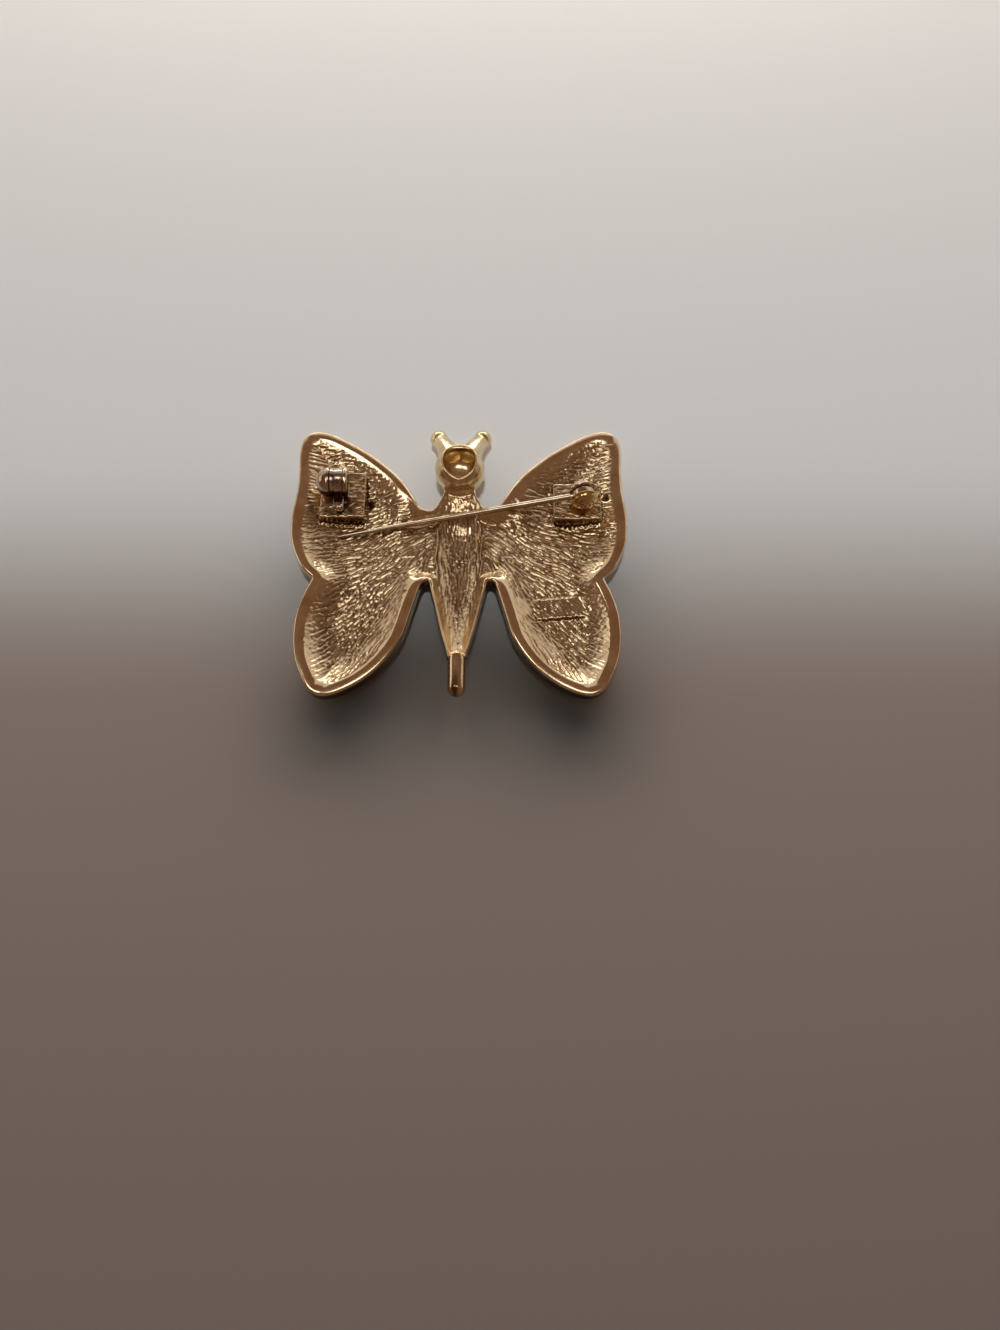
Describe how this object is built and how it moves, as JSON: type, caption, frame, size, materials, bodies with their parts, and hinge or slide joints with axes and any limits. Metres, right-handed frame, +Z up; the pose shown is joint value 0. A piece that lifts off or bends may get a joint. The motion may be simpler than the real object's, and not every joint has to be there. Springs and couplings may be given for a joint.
{
  "type": "butterfly brooch",
  "caption": "Cast butterfly brooch lying face down: hollow wings with a polished rim, a split-ball hinge with a drooping pin, and a rollover safety catch.",
  "frame": {"origin": "middle of the brooch's bounding box, on the table that it lies on", "axes": "+Z up from the table, out of the brooch's back; +Y towards the head; +X towards the hinge"},
  "size_m": [0.0458, 0.0407, 0.0071],
  "materials": {
    "gold_plate": "polished rims, matt textured hollows",
    "pale_plate": "polished",
    "finding_plate": "polished"
  },
  "bodies": {
    "brooch": {"casting": "gold_plate", "hinge_rivet": "pale_plate"},
    "pin": {"pin": "pale_plate"},
    "lock": {"catch_lock": "finding_plate"}
  },
  "joints": [
    {"name": "pin_hinge", "type": "hinge", "parent": "brooch", "child": "pin", "pos_m": [0.0169, 0.00815, 0.00475], "axis": [-0.1461, 0.9893, 0], "range_deg": [0, 150]},
    {"name": "lock_turn", "type": "hinge", "parent": "brooch", "child": "lock", "pos_m": [-0.01655, 0.00985, 0.0051], "axis": [-1, 0, 0], "range_deg": [0, 100]}
  ]
}
